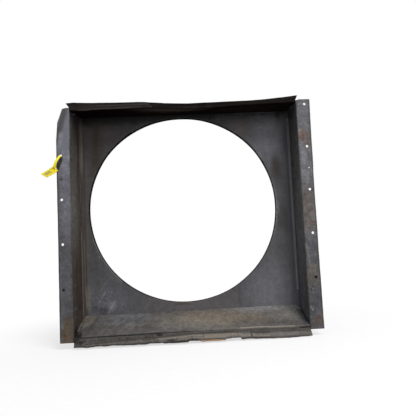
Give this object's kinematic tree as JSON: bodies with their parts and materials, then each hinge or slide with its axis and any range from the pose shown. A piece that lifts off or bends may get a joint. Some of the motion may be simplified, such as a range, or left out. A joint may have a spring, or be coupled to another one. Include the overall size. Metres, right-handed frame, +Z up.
{
  "type": "radiator fan shroud",
  "caption": "Box-shaped sheet-steel radiator fan shroud with a round fan opening and ring at the back, bolt flanges down both sides, bent lips and a seal tag that swings.",
  "frame": {"origin": "middle of the bolt pattern, on the front face of the bolt flanges, where the radiator's plane lies", "axes": "+X along the shroud's width, to the right when looking in from the radiator; +Y from the radiator towards the fan; +Z up"},
  "size_m": [1.0872, 0.2265, 0.9649],
  "materials": {
    "rear_panel_steel": "worn charcoal paint, dusty",
    "top_wall_steel": "worn charcoal paint, dusty",
    "bottom_wall_steel": "worn charcoal paint under pale dust",
    "left_rail_steel": "worn grey paint with dirt and rust",
    "right_rail_steel": "worn grey paint with dirt and rust",
    "fan_ring_steel": "worn charcoal paint",
    "corner_tab_steel": "worn charcoal paint",
    "weld_metal": "painted weld metal, rough",
    "seal_plastic": "satin yellow plastic"
  },
  "bodies": {
    "shroud": {"rear_panel": "rear_panel_steel", "top_wall": "top_wall_steel", "bottom_wall": "bottom_wall_steel", "left_side_rail": "left_rail_steel", "right_side_rail": "right_rail_steel", "fan_ring": "fan_ring_steel", "bottom_left_corner_tab": "corner_tab_steel", "bottom_right_corner_tab": "corner_tab_steel", "side_lap_welds": "weld_metal", "rear_lap_welds": "weld_metal", "ring_welds": "weld_metal", "corner_welds": "weld_metal"},
    "seal": {"seal_tag": "seal_plastic"}
  },
  "joints": [
    {"name": "tag_swing", "type": "hinge", "parent": "shroud", "child": "seal", "pos_m": [-0.5, 0.001, 0.2667], "axis": [0, 1, 0], "range_deg": [0, 120]}
  ]
}
